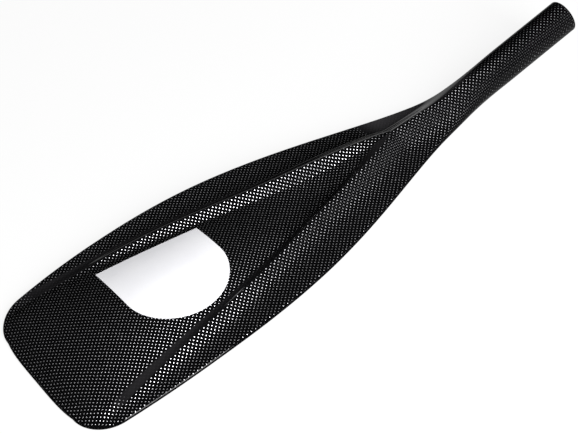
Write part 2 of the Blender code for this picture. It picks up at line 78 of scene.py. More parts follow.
def bell(x: Array, centre: float, reach: Number) -> Array:
    """A hump of height 1: the cosine squared of the distance over the reach."""
    return np.cos(np.clip((x - centre) / reach, -1, 1) * math.pi / 2) ** 2


def circle_drop(distance: Array, radius: Number) -> Array:
    """Drop of a quarter circle at a distance from its rim: r minus the root of r2 - d2."""
    t = 1 - np.clip(distance / radius, 0, 1)
    return radius * (1 - np.sqrt(np.maximum(1 - t * t, 0)))


@dataclass(frozen=True)
class BladeForm:
    """Shape of the blade: outline, centre line, and the relief of both faces.

    A hump is the place of its middle and its reach. A climb, or the growth of a
    wall, is the place where it starts and the place where it ends.
    """

    # Outline, rim, and the curl of the tip towards the power face
    half_width: float = 0.0868
    widest_x: float = 0.104
    tip_narrowing: float = 0.0086
    tip_corner_radius: float = 0.0277
    tip_bow: float = 0.0026
    tip_bow_power: int = 4
    shoulder_to_sleeve: float = 0.018
    shoulder_fullness: float = 2.48
    throat_fillet: float = 2.26
    half_rim: float = 0.0018
    tip_curl_length: float = 0.213

    # Neck, a round tube that rises from the level of the rim
    neck_radius: float = 0.0149
    neck_angle: float = math.radians(9.5)
    neck_bend_x: float = 0.405
    neck_bend_half: float = 0.014
    neck_end_x: float = 0.546
    rounding_start_x: float = 0.353
    rounding_over_sleeve: float = 0.003
    socket_depth: float = 0.069

    # Two ridges, which meet at the apex and run on as one spine
    apex_x: float = 0.352
    ridge_spread: float = 0.0777
    ridge_power: float = 0.80
    ridge_bow: float = 0.0031
    ridge_bow_hump: Span = (0.155, 0.115)
    toe_ridge_height: float = 0.0041
    toe_ridge_climb: Span = (0.0, 0.140)
    spine_height: float = 0.0131
    ridge_climb: Span = (0.170, 0.390)

    # Walls of the ridges
    crest_rounding: float = 0.0008
    toe_inner_wall: float = 0.0052
    inner_wall: float = 0.0080
    inner_wall_growth: Span = (0.040, 0.180)
    inner_foot: float = 0.04
    toe_outer_wall: float = 0.0075
    outer_wall: float = 0.0118
    outer_wall_growth: Span = (0.030, 0.160)
    spine_wall: float = 0.0190
    spine_wall_growth: Span = (0.200, 0.360)
    outer_edge: float = 0.50
    outer_tail: float = 2.0

    # Middle panel, crowned near the tip and hollow near the apex
    crown_height: float = 0.0086
    crown_hump: Span = (0.103, 0.146)
    crown_fall: float = 0.0078
    crown_fall_hump: Span = (0.120, 0.150)
    hollow_depth: float = 0.0024
    hollow_hump: Span = (0.255, 0.060)
    panel_climb: Span = (0.255, 0.365)
    apex_fade: float = 0.010

    # Outer flanks, between each ridge and the rim
    flank_dip: float = 0.0009
    flank_dip_hump: Span = (0.164, 0.136)
    narrowest_flank: float = 0.001

    # Power face, spooned near the tip, with a soft spine into the throat
    spoon_depth: float = 0.0030
    spoon_hump: Span = (0.100, 0.110)
    power_climb: Span = (0.170, 0.395)

    # The relief's fade at the tip, worked out over so many of its lengths
    tip_fade: float = 0.016
    fade_lengths: int = 3

    # Laminate, and the steps of the sums
    skin: float = 0.0008
    edge_radius: float = 0.0004
    slope_step: float = 0.0002
    round_off: float = 1e-6

    @property
    def overall_length(self) -> float:
        """Length of the blade's box along X."""
        return self.neck_end_x + self.neck_radius * math.sin(self.neck_angle)

    @property
    def sleeve_start_x(self) -> float:
        """Where the socket's sleeve starts: its depth is measured along the axis."""
        return self.neck_end_x - self.socket_depth * math.cos(self.neck_angle)

    @property
    def shoulder_end_x(self) -> float:
        """Where the outline reaches the neck's width, a little before the sleeve."""
        return self.sleeve_start_x - self.shoulder_to_sleeve

    @property
    def rounding_end_x(self) -> float:
        """Where the section has become round, a little past the sleeve's start."""
        return self.sleeve_start_x + self.rounding_over_sleeve

    def side_width(self, x: Array) -> Array:
        """Half width without the tip's corners.

        A power curve falls from the widest part to the neck. Before the widest part
        the square of the way that is left to the tip is taken off.

        Args:
            x: Distance from the tip.

        Returns:
            Half widths, of the shape of x.
        """
        before = np.clip(1 - x / self.widest_x, 0, 1)
        after = (x - self.widest_x) / (self.shoulder_end_x - self.widest_x)
        after = np.clip(after, 0, 1)
        fullness = (1 - after ** self.shoulder_fullness) ** self.throat_fillet
        widening = (self.half_width - self.neck_radius) * fullness
        return self.neck_radius + widening - self.tip_narrowing * before ** 2

    def flat_tip_width(self) -> float:
        """Half the width of the nearly straight edge between the tip's corners."""
        return float(self.side_width(np.array(0.0))) - self.tip_corner_radius

    def outline_width(self, x: Array, inset: Number) -> Array:
        """Half width of the outline: the side, less the drop of the tip's corner circle."""
        radius = self.tip_corner_radius - inset
        return self.side_width(x) - inset - circle_drop(x - self.tip_bow - inset, radius)

    def tip_edge(self, a: Array, inset: Number) -> Array:
        """Place of the tip's bowed edge along X: a power curve across the flat part."""
        share = np.clip(a / self.flat_tip_width(), 0, 1)
        return inset + self.tip_bow * share ** self.tip_bow_power

    def rim_distance(self, x: Array, a: Array, inset: Number) -> Array:
        """Distance to the outline: to the side, the tip's edge or the corner's circle.

        Args:
            x: Distance from the tip.
            a: Distance off the middle line.
            inset: Depth under the outer surface.

        Returns:
            Distances, never below zero.
        """
        radius = self.tip_corner_radius - inset
        off_side = self.side_width(x) - inset - a
        off_tip = x - self.tip_edge(a, inset)
        across = radius - off_side
        along = radius - (x - self.tip_bow - inset)
        corner = (across > 0) & (along > 0)
        off_corner = radius - np.hypot(np.maximum(across, 0), np.maximum(along, 0))
        return np.maximum(np.where(corner, off_corner, np.minimum(off_side, off_tip)), 0)

    def line_rise(self, x: Array) -> Array:
        """Height of the neck's axis: level, a short parabola, then a straight rise.

        Args:
            x: Distance from the tip.

        Returns:
            Heights above the floor.
        """
        half = self.neck_bend_half
        u = x - self.neck_bend_x
        bend = np.clip(u + half, 0, 2 * half) ** 2 / (4 * half)
        rise = bend + np.maximum(u - half, 0)
        return self.neck_radius + math.tan(self.neck_angle) * rise

    def line_angle(self, x: Array) -> Array:
        """Slope angle of the neck's axis, whose tangent grows evenly through the bend.

        Args:
            x: Distance from the tip.

        Returns:
            Angles, of the shape of x.
        """
        half = self.neck_bend_half
        turned = np.clip((x - self.neck_bend_x + half) / (2 * half), 0, 1)
        return np.arctan(math.tan(self.neck_angle) * turned)

    def tip_curl(self, x: Array) -> Array:
        """How far the rim curls down towards the tip: a parabola."""
        reach = np.clip(1 - x / self.tip_curl_length, 0, 1)
        return (self.neck_radius - self.half_rim) * reach ** 2

    def roundness(self, x: Array) -> Array:
        """0 where the section is a blade, 1 where it is the round neck."""
        return ramp(x, self.rounding_start_x, self.rounding_end_x)

    def place(self, x: Array, y: Array, height: Array) -> Array:
        """Points of the frame, at a height square to the axis.

        Args:
            x: Distance from the tip.
            y: Distance off the middle line, with its sign.
            height: Height above the parting line, below it where negative.

        Returns:
            Points, with X measured from the middle of the blade's box.
        """
        angle = self.line_angle(x)
        along = x - height * np.sin(angle) - self.overall_length / 2
        up = self.line_rise(x) - self.tip_curl(x) + height * np.cos(angle)
        return np.stack(np.broadcast_arrays(along, y, up), axis=-1)

    def ridge_offset(self, x: Array) -> Array:
        """Distance of each ridge from the middle line: a power curve, bowed a little."""
        spread = self.ridge_spread * np.clip(1 - x / self.apex_x, 0, 1) ** self.ridge_power
        return spread + self.ridge_bow * bell(x, *self.ridge_bow_hump)

    def inner_share(self, x: Array, distance: Array) -> Array:
        """A ridge's inner wall: 1 on its crest, then a straight fall to 0 at its foot.

        The crest is rounded: the root of d2 + r2, less r. So is the foot: half of what
        is left plus the root of its square and the foot's own square.

        Args:
            x: Distance from the tip.
            distance: Distance from the ridge, towards the middle.

        Returns:
            Shares of the ridge's height.
        """
        rounded = np.hypot(distance, self.crest_rounding) - self.crest_rounding
        growth = (self.inner_wall - self.toe_inner_wall) * ramp(x, *self.inner_wall_growth)
        left = 1 - rounded / (self.toe_inner_wall + growth)
        foot = self.inner_foot
        return (left + np.hypot(left, foot)) / (1 + math.hypot(1, foot))

    def outer_share(self, x: Array, distance: Array) -> Array:
        """A ridge's outer wall: part cosine squared, part parabola, narrower at the toe.

        The parabola, the square of what is left of the way to its foot, gives the
        crest an edge and the wall a long tail. The cosine squared ends sooner and
        makes the wall steepest half-way down.

        Args:
            x: Distance from the tip.
            distance: Distance from the ridge, away from the middle.

        Returns:
            Shares of the ridge's height.
        """
        growth = (self.outer_wall - self.toe_outer_wall) * ramp(x, *self.outer_wall_growth)
        widening = (self.spine_wall - self.outer_wall) * ramp(x, *self.spine_wall_growth)
        reach = self.toe_outer_wall + growth + widening
        left = 1 - np.clip(distance / (reach * self.outer_tail), 0, 1)
        hump = bell(distance, 0.0, reach)
        return hump + self.outer_edge * (left ** 2 - hump)

    def back_relief(self, x: Array, a: Array) -> Array:
        """Height of the back face's pattern over the rim.

        Between the ridges the panel is a parabola across. Each ridge adds its walls,
        and outside them the flank dips and runs out to the rim.

        Args:
            x: Distance from the tip.
            a: Distance off the middle line.

        Returns:
            Heights, of the shape of x and a.
        """
        ridge = self.ridge_offset(x)
        width = self.side_width(x)
        panel = self.crown_height * bell(x, *self.crown_hump)
        panel = panel + self.spine_height * ramp(x, *self.panel_climb)
        climb = (self.spine_height - self.toe_ridge_height) * ramp(x, *self.ridge_climb)
        crest = self.toe_ridge_height * ramp(x, *self.toe_ridge_climb) + climb
        fall = self.crown_fall * bell(x, *self.crown_fall_hump)
        fall = fall - self.hollow_depth * bell(x, *self.hollow_hump)
        fall = fall * np.clip(ridge / self.apex_fade, 0, 1)
        dip = self.flank_dip * bell(x, *self.flank_dip_hump)
        floor = panel - fall * (a / np.maximum(ridge, self.round_off)) ** 2
        inside = floor + (crest - floor) * self.inner_share(x, ridge - a)
        across = np.clip((a - ridge) / np.maximum(width - ridge, self.narrowest_flank), 0, 1)
        outside = (crest + dip) * self.outer_share(x, a - ridge) - dip
        outside = outside * (1 - across ** 2)
        return np.where(a < ridge, inside, outside)

    def power_relief(self, x: Array, a: Array) -> Array:
        """Depth of the power face: a parabola across, spooned first, then a spine.

        Args:
            x: Distance from the tip.
            a: Distance off the middle line.

        Returns:
            Depths beyond the rim, of the shape of x and a.
        """
        climb = ramp(x, *self.power_climb)
        spoon = self.spoon_depth * bell(x, *self.spoon_hump)
        belly = (self.neck_radius - self.half_rim) * climb - spoon
        return belly * (1 - np.clip(a / self.side_width(x), 0, 1) ** 2)

    def height(self, x: Array, a: Array, inset: Number, face: Face) -> Array:
        """Height of a face above the parting line.

        The blade's share is the rounded rim plus the relief, which fades in from the
        tip. The tube's share is a circle. An inset lowers both along their normals.

        Args:
            x: Distance from the tip.
            a: Distance off the middle line.
            inset: Depth under the outer surface.
            face: Which face.

        Returns:
            The height, never below zero.
        """
        relief = self.back_relief if face is Face.BACK else self.power_relief
        step = self.slope_step
        slope_x = (relief(x + step, a) - relief(x - step, a)) / (2 * step)
        slope_a = (relief(x, a + step) - relief(x, np.abs(a - step))) / (2 * step)
        steepness = np.sqrt(1 + slope_x ** 2 + slope_a ** 2) - 1
        from_rim = self.rim_distance(x, a, inset)
        fade = ramp(from_rim + inset, 0, self.tip_fade)
        fade = np.where(x < self.fade_lengths * self.tip_fade, fade, 1)
        rim = self.half_rim - inset
        rim = rim - circle_drop(from_rim, rim)
        blade = rim + (relief(x, a) - inset * steepness) * fade
        across = np.clip(a / (self.side_width(x) - inset), 0, 1)
        tube = (self.neck_radius - inset) * np.sqrt(1 - across ** 2)
        share = self.roundness(x)
        return (1 - share) * blade + share * tube


FORM = BladeForm()


# Meshes

def grid_faces(index: Array, flip: bool = False) -> Array:
    """Quads between neighbouring rows and columns of a grid.

    Args:
        index: Vertex numbers of the grid.
        flip: Whether the quads turn the other way.

    Returns:
        Four vertex numbers for each quad, row by row.
    """
    quads = [index[:-1, :-1], index[1:, :-1], index[1:, 1:], index[:-1, 1:]]
    if flip:
        quads = quads[::-1]
    return np.stack(quads, axis=-1).reshape(-1, 4)


def border(index: Array) -> Array:
    """Vertex numbers round the border of a grid, in order."""
    sides = [index[0, :-1], index[:-1, -1], index[-1, :0:-1], index[:0:-1, 0]]
    return np.concatenate(sides)


def make_piece(
    name: str, points: Array, faces: Array, uv: Array, material: bpy.types.Material
) -> bpy.types.Object:
    """A mesh object from arrays of points, quads and one UV pair for each point.

    Args:
        name: Name of the piece.
        points: Vertex positions, one row each.
        faces: Quads of vertex numbers.
        uv: Metres along and across the surface for each vertex.
        material: Its finish.

    Returns:
        The object, linked to the scene and shaded smooth.
    """
    mesh = bpy.data.meshes.new(name)
    mesh.from_pydata(points.tolist(), [], faces.tolist())
    mesh.validate()
    layer = mesh.uv_layers.new(name=SURFACE_UV)
    corner = np.empty(len(mesh.loops), dtype=np.int32)
    mesh.loops.foreach_get("vertex_index", corner)
    layer.data.foreach_set("uv", uv[corner].astype(np.float32).ravel())
    mesh.materials.append(material)
    mesh.shade_smooth()
    mesh.set_sharp_from_angle(angle=SHARP_EDGE)
    piece = bpy.data.objects.new(name, mesh)
    bpy.context.scene.collection.objects.link(piece)
    return piece


def shell(
    name: str, top: Array, bottom: Array, uv: Array, material: bpy.types.Material
) -> bpy.types.Object:
    """A closed sheet between two grids: both grids and a strip round their border.

    Args:
        name: Name of the piece.
        top: Points of the upper grid.
        bottom: Points of the lower grid, in the same rows and columns.
        uv: Metres along and across the surface, for both grids.
        material: Its finish.

    Returns:
        The object, linked to the scene.
    """
    rows, cols, _ = top.shape
    index = np.arange(rows * cols).reshape(rows, cols)
    under = rows * cols
    ring = border(index)
    after = np.roll(ring, -1)
    strip = np.stack([ring, after, under + after, under + ring], axis=-1)
    faces = np.concatenate([grid_faces(index), grid_faces(index, flip=True) + under, strip])
    points = np.concatenate([top.reshape(-1, 3), bottom.reshape(-1, 3)])
    return make_piece(name, points, faces, np.tile(uv.reshape(-1, 2), (2, 1)), material)


def hand_over(piece: bpy.types.Object, node: str) -> None:
    """Let a finished piece ride on the root and stand for its plain solid.

    Args:
        piece: The finished piece.
        node: The solid that it replaces.
    """
    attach(piece, "root")
    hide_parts(node)
    log.info("%s: %d faces", piece.name, len(piece.data.polygons))


# Shaders

class Signal:
    """A socket's value in a shader, on which plain arithmetic adds Math nodes."""

    def __init__(self, shader: Shader, socket: bpy.types.NodeSocket) -> None:
        """Wrap an output socket of a shader's node."""
        self.shader = shader
        self.socket = socket

    def math(self, operation: str, *others: Value) -> Signal:
        """The result of a Math node on this value and others."""
        return self.shader.node("ShaderNodeMath", {"operation": operation}, [self, *others])

    def __add__(self, other: Value) -> Signal:
        """This plus other."""
        return self.math("ADD", other)

    def __radd__(self, other: Value) -> Signal:
        """Other plus this."""
        return self.math("ADD", other)

    def __sub__(self, other: Value) -> Signal:
        """This minus other."""
        return self.math("SUBTRACT", other)

    def __rsub__(self, other: Value) -> Signal:
        """Other minus this."""
        return self.shader.node("ShaderNodeMath", {"operation": "SUBTRACT"}, [other, self])

    def __mul__(self, other: Value) -> Signal:
        """This times other."""
        return self.math("MULTIPLY", other)

    def __rmul__(self, other: Value) -> Signal:
        """Other times this."""
        return self.math("MULTIPLY", other)

    def __truediv__(self, other: Value) -> Signal:
        """This divided by other."""
        return self.math("DIVIDE", other)

    def __pow__(self, other: Value) -> Signal:
        """This to the power of other."""
        return self.math("POWER", other)

    def floor(self) -> Signal:
        """The whole number below this."""
        return self.math("FLOOR")

    def part(self) -> Signal:
        """What is left of this above the whole number below."""
        return self.math("FRACT")

    def odd(self) -> Signal:
        """1 where this whole number is odd, so that its half leaves a half, else 0."""
        return (self * 0.5).part().math("GREATER_THAN", 0.25)

    def sine(self) -> Signal:
        """Sine of this, in radians."""
        return self.math("SINE")

    def cosine(self) -> Signal:
        """Cosine of this, in radians."""
        return self.math("COSINE")

    def smooth(self, start: float, end: float) -> Signal:
        """A smooth climb from 0 at start to 1 at end."""
        settings = {"interpolation_type": "SMOOTHSTEP"}
        return self.shader.node("ShaderNodeMapRange", settings, [self, start, end, 0.0, 1.0])

    def toward(self, other: Signal, share: Value) -> Signal:
        """This moved towards other by a share."""
        return self + (other - self) * share


class Shader:
    """A material's node tree, with one method that adds any node."""

    def __init__(self, name: str) -> None:
        """Start a material with a Principled shader at its output.

        Args:
            name: The material's name.
        """
        self.material = bpy.data.materials.new(name)
        self.material.use_nodes = True
        self.tree = self.material.node_tree
        self.surface = self.tree.nodes["Principled BSDF"]

    def node(self, kind: str, settings: dict[str, Any], inputs: Any, output: int = 0) -> Signal:
        """Add a node.

        Args:
            kind: The node's type.
            settings: Its properties, set before its sockets.
            inputs: Values or signals by socket order, or by name in a dict.
            output: Which output to return.

        Returns:
            The signal of the chosen output.
        """
        node = self.tree.nodes.new(kind)
        for key, value in settings.items():
            setattr(node, key, value)
        pairs = inputs.items() if isinstance(inputs, dict) else enumerate(inputs)
        for key, value in pairs:
            self.feed(node.inputs[key], value)
        return Signal(self, node.outputs[output])

    def feed(self, socket: bpy.types.NodeSocket, value: Any) -> None:
        """Link a signal to a socket, or set the socket's own value.

        Args:
            socket: An input socket of a node.
            value: A signal, or a value of the socket's own kind.
        """
        if isinstance(value, Signal):
            self.tree.links.new(value.socket, socket)
        else:
            socket.default_value = value

    def set(self, **values: Any) -> None:
        """Feed the surface's sockets, named with underscores for spaces."""
        for key, value in values.items():
            self.feed(self.surface.inputs[key.replace("_", " ")], value)

    def uv_point(self) -> Signal:
        """The piece's own surface coordinates as one vector."""
        return self.node("ShaderNodeUVMap", {"uv_map": SURFACE_UV}, [])

    def uv(self) -> tuple[Signal, Signal]:
        """Metres along and across the piece's surface."""
        along = self.node("ShaderNodeSeparateXYZ", {}, [self.uv_point()])
        return along, Signal(self, along.socket.node.outputs[1])

    def object_point(self) -> Signal:
        """The point in the piece's own space."""
        return self.node("ShaderNodeTexCoord", {}, [], output=3)

    def share(self, name: str) -> Signal:
        """A share that the piece's mesh holds for each of its points."""
        return self.node("ShaderNodeAttribute", {"attribute_name": name}, [], output=2)

    def noise(self, point: Signal, scale: float, detail: float = 2.0) -> Signal:
        """Soft noise between 0 and 1."""
        values = {"Vector": point, "Scale": scale, "Detail": detail}
        return self.node("ShaderNodeTexNoise", {}, values)

    def bump(self, height: Signal, strength: float, distance: float) -> Signal:
        """The normal of a surface dented by a height."""
        values = {"Strength": strength, "Distance": distance, "Height": height}
        return self.node("ShaderNodeBump", {}, values)

    def blend(self, share: Value, first: Any, second: Any) -> Signal:
        """Colour between a first and a second one."""
        values = {0: share, 6: first, 7: second}
        return self.node("ShaderNodeMix", {"data_type": "RGBA"}, values, output=2)


@dataclass(frozen=True)
class WeaveFinish:
    """Clear-coated plain carbon weave, whose tows run along and across the piece.

    A crown's half length and half width are shares of the tows' pitch. The skew turns
    the cloth a little, as it was laid by hand.
    """

    name: str = "carbon_weave"
    pitch: float = 0.0020
    skew: float = -0.040
    fibre_colour: Colour = (0.30, 0.30, 0.31, 1.0)
    resin_colour: Colour = (0.001, 0.001, 0.0012, 1.0)
    # Flat grey painted on walls that face +Y and on the throat's flank: a painted reflection
    painted_sheen_colour: Colour = (0.030, 0.029, 0.031, 1.0)
    crown_length: float = 0.27
    crown_width: float = 0.34
    crown_edge: Span = (0.25, 1.0)
    crown_rise: Span = (0.0, 0.3)
    # Share of the fibre colour kept by crowns of crosswise tows: painted shade, since the same
    # fibre looks darker there only by the lamp's angle
    cross_shade_share: float = 0.12
    strands: float = 1.5
    roll: float = 0.38
    wave: float = 0.21
    arch: float = 0.50
    cross_arch: float = 0.65
    sheen_cover: Span = (0.0, 0.3)
    roughness: float = 0.32
    cloud_scale: float = 90.0
    cloud_share: float = 0.04
    coat_index: float = 1.35
    coat_roughness: float = 0.06
    dull_coat: float = 0.9

    def normal(
        self, shader: Shader, crosswise: Signal, length: Signal, side: Signal, crown: Signal
    ) -> Signal:
        """The normal on the tow that is on top.

        A tow arches over its neighbours, which tilts the normal along it, and its
        round strands roll the normal from side to side across it, by a cosine wave.

        Args:
            shader: The material's nodes.
            crosswise: 1 where the tow on top runs across the piece, 0 where along.
            length: Place along the tow, 0 in the middle of its cell.
            side: Place across the tow, 0 in the middle of its cell.
            crown: How far the tow comes up out of the resin.

        Returns:
            The normal, level where the resin covers the tow.
        """
        rise = crown.smooth(*self.crown_rise)
        wave = (side * (self.strands * math.tau)).cosine()
        roll = (wave * -self.wave - self.roll) * rise
        level = roll.cosine()
        tilt_side = roll.sine()
        arch = self.arch + crosswise * (self.cross_arch - self.arch)
        tilt_length = length * level * rise * arch * 2
        tilt_u = tilt_length.toward(tilt_side, crosswise)
        tilt_v = tilt_side.toward(tilt_length, crosswise)
        channels = [tilt * 0.5 + 0.5 for tilt in (tilt_u, tilt_v, level)]
        colour = shader.node("ShaderNodeCombineXYZ", {}, channels)
        values = {"Strength": 1.0, "Color": colour}
        return shader.node("ShaderNodeNormalMap", {"uv_map": SURFACE_UV}, values)

    def material(self) -> bpy.types.Material:
        """The finish as a material.

        Cells of one tow's pitch make a checkerboard. In each cell the tow on top runs
        along or across, and only its crown, an ellipse in the cell, comes up to the
        surface of the dark resin. Crowns of crosswise tows keep a small share of the
        fibre colour, which is painted shade. The share called dull takes away shine and coat.
        The share called painted_sheen hides the crowns, which is painted shade, and turns the
        resin to a flat grey, which is a painted reflection.

        Returns:
            The material, for a piece whose mesh holds both shares.
        """
        shader = Shader(self.name)
        along, across = shader.uv()
        u = (along + across * self.skew) / self.pitch
        v = (across - along * self.skew) / self.pitch
        crosswise = (u.floor() + v.floor()).odd()
        cell_u = u.part() - 0.5
        cell_v = v.part() - 0.5
        length = cell_u.toward(cell_v, crosswise)
        side = cell_v.toward(cell_u, crosswise)
        reach = (length / self.crown_length) ** 2.0 + (side / self.crown_width) ** 2.0
        crown = 1 - reach.smooth(*self.crown_edge)
        dull = shader.share("dull")
        painted_sheen = shader.share("painted_sheen")
        # Under the painted sheen the weave's crowns are hidden: painted shade where the dots lie
        # unlit at a grazing view
        weave_outside_sheen = 1 - painted_sheen.smooth(*self.sheen_cover)
        # Crosswise crowns are painted darker than lengthwise ones as painted shade. The dull
        # share and the painted sheen take the shine away too
        shine = crown * (1 - crosswise * (1 - self.cross_shade_share)) * (1 - dull) * weave_outside_sheen
        # The resin's colour turns to the painted sheen's grey there: a painted reflection
        resin = shader.blend(painted_sheen, self.resin_colour, self.painted_sheen_colour)
        cloud = shader.noise(shader.uv_point(), self.cloud_scale)
        shader.set(
            Base_Color=shader.blend(shine, resin, self.fibre_colour),
            Metallic=crown * weave_outside_sheen,
            Roughness=self.roughness + cloud * self.cloud_share,
            Normal=self.normal(shader, crosswise, length, side, crown),
            Specular_IOR_Level=0.0,
            Coat_Weight=1 - dull * self.dull_coat,
            Coat_IOR=self.coat_index,
            Coat_Roughness=self.coat_roughness,
        )
        return shader.material


@dataclass(frozen=True)
class GrainedFinish:
    """Two tones mottled by soft noise, on a finely grained surface."""

    name: str
    colour: Colour
    second: Colour
    mottle_scale: float
    mottle_detail: float
    mottle_share: float
    roughness: float
    grain_scale: float
    grain_strength: float
    grain_depth: float

    def material(self) -> bpy.types.Material:
        """The finish as a material, whose roughness follows the mottle.

        Returns:
            The material, for any piece.
        """
        shader = Shader(self.name)
        point = shader.object_point()
        mottle = shader.noise(point, self.mottle_scale, self.mottle_detail)
        grain = shader.noise(point, self.grain_scale)
        shader.set(
            Base_Color=shader.blend(mottle, self.colour, self.second),
            Roughness=self.roughness + mottle * self.mottle_share,
            Normal=shader.bump(grain, self.grain_strength, self.grain_depth),
        )
        return shader.material


@dataclass(frozen=True)
class FoilFinish(GrainedFinish):
    """White foil with a faint mottle and a satin sheen."""

    name: str = "label_foil"
    colour: Colour = (0.86, 0.86, 0.88, 1.0)
    second: Colour = (0.80, 0.80, 0.83, 1.0)
    mottle_scale: float = 60.0
    mottle_detail: float = 2.0
    mottle_share: float = 0.08
    roughness: float = 0.34
    grain_scale: float = 2200.0
    grain_strength: float = 0.12
    grain_depth: float = 0.0001


@dataclass(frozen=True)
class LaminateFinish(GrainedFinish):
    """Bare cured laminate: dark, with fine cloth marks and worn patches."""

    name: str = "bare_laminate"
    colour: Colour = (0.035, 0.034, 0.036, 1.0)
    second: Colour = (0.075, 0.073, 0.075, 1.0)
    mottle_scale: float = 45.0
    mottle_detail: float = 4.0
    mottle_share: float = 0.15
    roughness: float = 0.42
    grain_scale: float = 900.0
    grain_strength: float = 0.25
    grain_depth: float = 0.0002


@dataclass(frozen=True)
class FoamFinish:
    """Closed-cell structural foam with small round cells."""

    name: str = "core_foam"
    colour: Colour = (0.78, 0.74, 0.62, 1.0)
    cell_colour: Colour = (0.60, 0.56, 0.45, 1.0)
    cell_scale: float = 1400.0
    cell_depth: float = 0.0003
    cell_strength: float = 0.4
    cloud_scale: float = 30.0
    roughness: float = 0.80
    cloud_share: float = 0.12

    def material(self) -> bpy.types.Material:
        """The finish as a material: cells darken the colour and dent the surface.

        Returns:
            The material, for any piece.
        """
        shader = Shader(self.name)
        point = shader.object_point()
        values = {"Vector": point, "Scale": self.cell_scale}
        cells = shader.node("ShaderNodeTexVoronoi", {}, values)
        cloud = shader.noise(point, self.cloud_scale)
        shader.set(
            Base_Color=shader.blend(cells, self.cell_colour, self.colour),
            Roughness=self.roughness + cloud * self.cloud_share,
            Normal=shader.bump(cells, self.cell_strength, self.cell_depth),
        )
        return shader.material


# Sub-assemblies

class HalfGrid(NamedTuple):
    """Half of a skin's surface: rows along X, columns from the middle line outwards."""

    x: Array
    offset: Array
    height: Array
    side: Array


def both_sides(right: Array, left: Array) -> Array:
    """Whole rows from their two halves, which share the column on the middle line."""
    return np.concatenate([right[:, :0:-1], left], axis=1)


